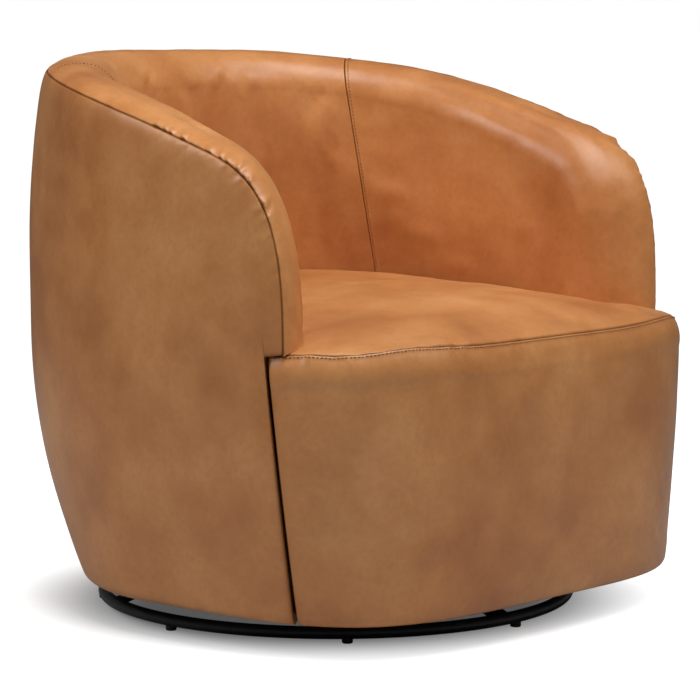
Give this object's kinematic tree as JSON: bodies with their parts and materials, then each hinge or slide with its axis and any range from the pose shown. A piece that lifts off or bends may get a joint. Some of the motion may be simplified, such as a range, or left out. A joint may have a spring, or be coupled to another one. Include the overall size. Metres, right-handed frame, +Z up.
{
  "type": "swivel barrel chair",
  "caption": "Low upholstered tub chair with a rolled rim that sweeps down into the arms, a crowned seat with a full-width apron, and a swivel on a round tube base.",
  "frame": {"origin": "on the floor, under the middle of the body's plan; the swivel axis is 19 mm in front of it", "axes": "+Z up, -Y towards the front of the seat, +X towards the sitter's left"},
  "size_m": [0.7895, 0.8081, 0.7313],
  "materials": {
    "tan_leather": "semi-gloss caramel tan upholstery leather with soft mottling",
    "black_powder_coat": "satin black powder coat",
    "black_plastic": "matt black moulded plastic",
    "plated_steel": "zinc plated pressed steel",
    "bearing_steel": "polished steel balls",
    "plywood": "raw plywood",
    "frame_wood": "raw laminated hardwood",
    "black_cloth": "thin black non-woven cloth",
    "elastic_webbing": "woven elastic belt",
    "grey_felt": "pressed felt"
  },
  "bodies": {
    "base": {"base_ring": "black_powder_coat", "floor_glides": "black_plastic", "lower_cross_strap": "black_powder_coat", "upper_cross_strap": "black_powder_coat", "swivel_lower_plate": "plated_steel", "lower_plate_bolts": "plated_steel", "lower_plate_nuts": "plated_steel", "bearing_balls": "bearing_steel", "ball_cage": "black_plastic", "swivel_rivet": "plated_steel"},
    "chair": {"swivel_upper_plate": "plated_steel", "upper_plate_screws": "plated_steel", "swivel_board": "plywood", "bottom_frame": "plywood", "dust_cover": "black_cloth", "front_panel": "plywood", "seat_rail": "plywood", "top_rail": "frame_wood", "back_rib_centre": "plywood", "right_side_rib": "plywood", "left_side_rib": "plywood", "right_rear_rib": "plywood", "left_rear_rib": "plywood", "right_back_rib": "plywood", "left_back_rib": "plywood", "right_arm_post": "frame_wood", "left_arm_post": "frame_wood", "long_webbing": "elastic_webbing", "cross_webbing": "elastic_webbing", "felt_pad": "grey_felt", "seat_pad": "tan_leather", "front_apron": "tan_leather", "back_pad": "tan_leather", "right_arm_pad": "tan_leather", "left_arm_pad": "tan_leather", "right_outer_cover": "tan_leather", "left_outer_cover": "tan_leather"}
  },
  "joints": [
    {"name": "swivel", "type": "hinge", "parent": "base", "child": "chair", "pos_m": [0, -0.019, 0.049], "axis": [0, 0, 1], "continuous": true}
  ]
}
